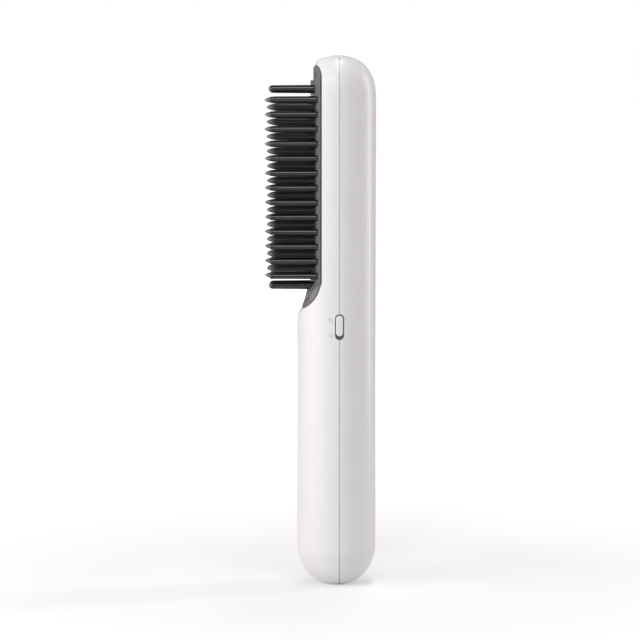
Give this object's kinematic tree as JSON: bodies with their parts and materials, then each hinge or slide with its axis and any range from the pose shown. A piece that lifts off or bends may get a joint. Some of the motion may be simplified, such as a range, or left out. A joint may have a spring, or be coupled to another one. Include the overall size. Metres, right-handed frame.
{
  "type": "cordless hair straightener brush",
  "caption": "Round-bodied cordless heated brush with a staggered comb of heated teeth, a side slide switch, a press button and a charging socket in its lower end.",
  "frame": {"origin": "centre of the flat lower end of the body, on the body's long axis", "axes": "+Z along the body from the charging end to the head, -X the way the teeth point, -Y the side with the slide switch"},
  "size_m": [0.0515, 0.0368, 0.246],
  "materials": {
    "white_shell": "satin moulded",
    "dark_frame": "fine moulded grain",
    "coated_plate": "dark coated casting",
    "heater_jacket": "drawn",
    "mica": "pressed sheet",
    "steel": "zinc plated",
    "dark_moulding": "moulded",
    "cell_sleeve": "shrink sleeve",
    "circuit_board": "solder mask",
    "clear_plastic": "clear moulded",
    "grey_rubber": "moulded",
    "lead_sleeve": "silicone sleeve"
  },
  "bodies": {
    "housing": {"front_shell": "white_shell", "rear_shell": "white_shell", "comb_frame": "dark_frame", "outer_teeth": "dark_frame", "guard_teeth": "dark_frame", "heater_plate": "coated_plate", "centre_teeth": "coated_plate", "middle_teeth": "coated_plate", "ptc_heater": "heater_jacket", "insulation_sheet": "mica", "heater_clamps": "steel", "heater_screws": "steel", "frame_screws": "steel", "cradle_screws": "steel", "board_screws": "steel", "button_board_screws": "steel", "usb_c_port": "steel", "cell_tabs": "steel", "thermistor": "dark_moulding", "thermal_fuse": "heater_jacket", "battery_cell": "cell_sleeve", "battery_cradle": "dark_moulding", "slide_switch": "dark_moulding", "tact_switch": "dark_moulding", "board_components": "dark_moulding", "main_board": "circuit_board", "button_board": "circuit_board", "charge_board": "circuit_board", "indicator_lights": "clear_plastic", "light_guide": "clear_plastic", "port_surround": "grey_rubber", "charge_leads": "lead_sleeve", "supply_lead": "lead_sleeve", "return_lead": "lead_sleeve", "heater_leads": "lead_sleeve"},
    "slide_knob": {"slide_knob": "white_shell", "slide_shutter": "dark_moulding", "switch_lever": "dark_moulding"},
    "temperature_button": {"temperature_button": "white_shell", "tact_plunger": "dark_moulding"}
  },
  "joints": [
    {"name": "knob_slide", "type": "slide", "parent": "housing", "child": "slide_knob", "axis": [0, 0, -1], "range_m": [0, 0.0015]},
    {"name": "button_press", "type": "slide", "parent": "housing", "child": "temperature_button", "axis": [1, 0, 0], "range_m": [0, 0.0004], "stiffness_N_per_m": 800}
  ]
}
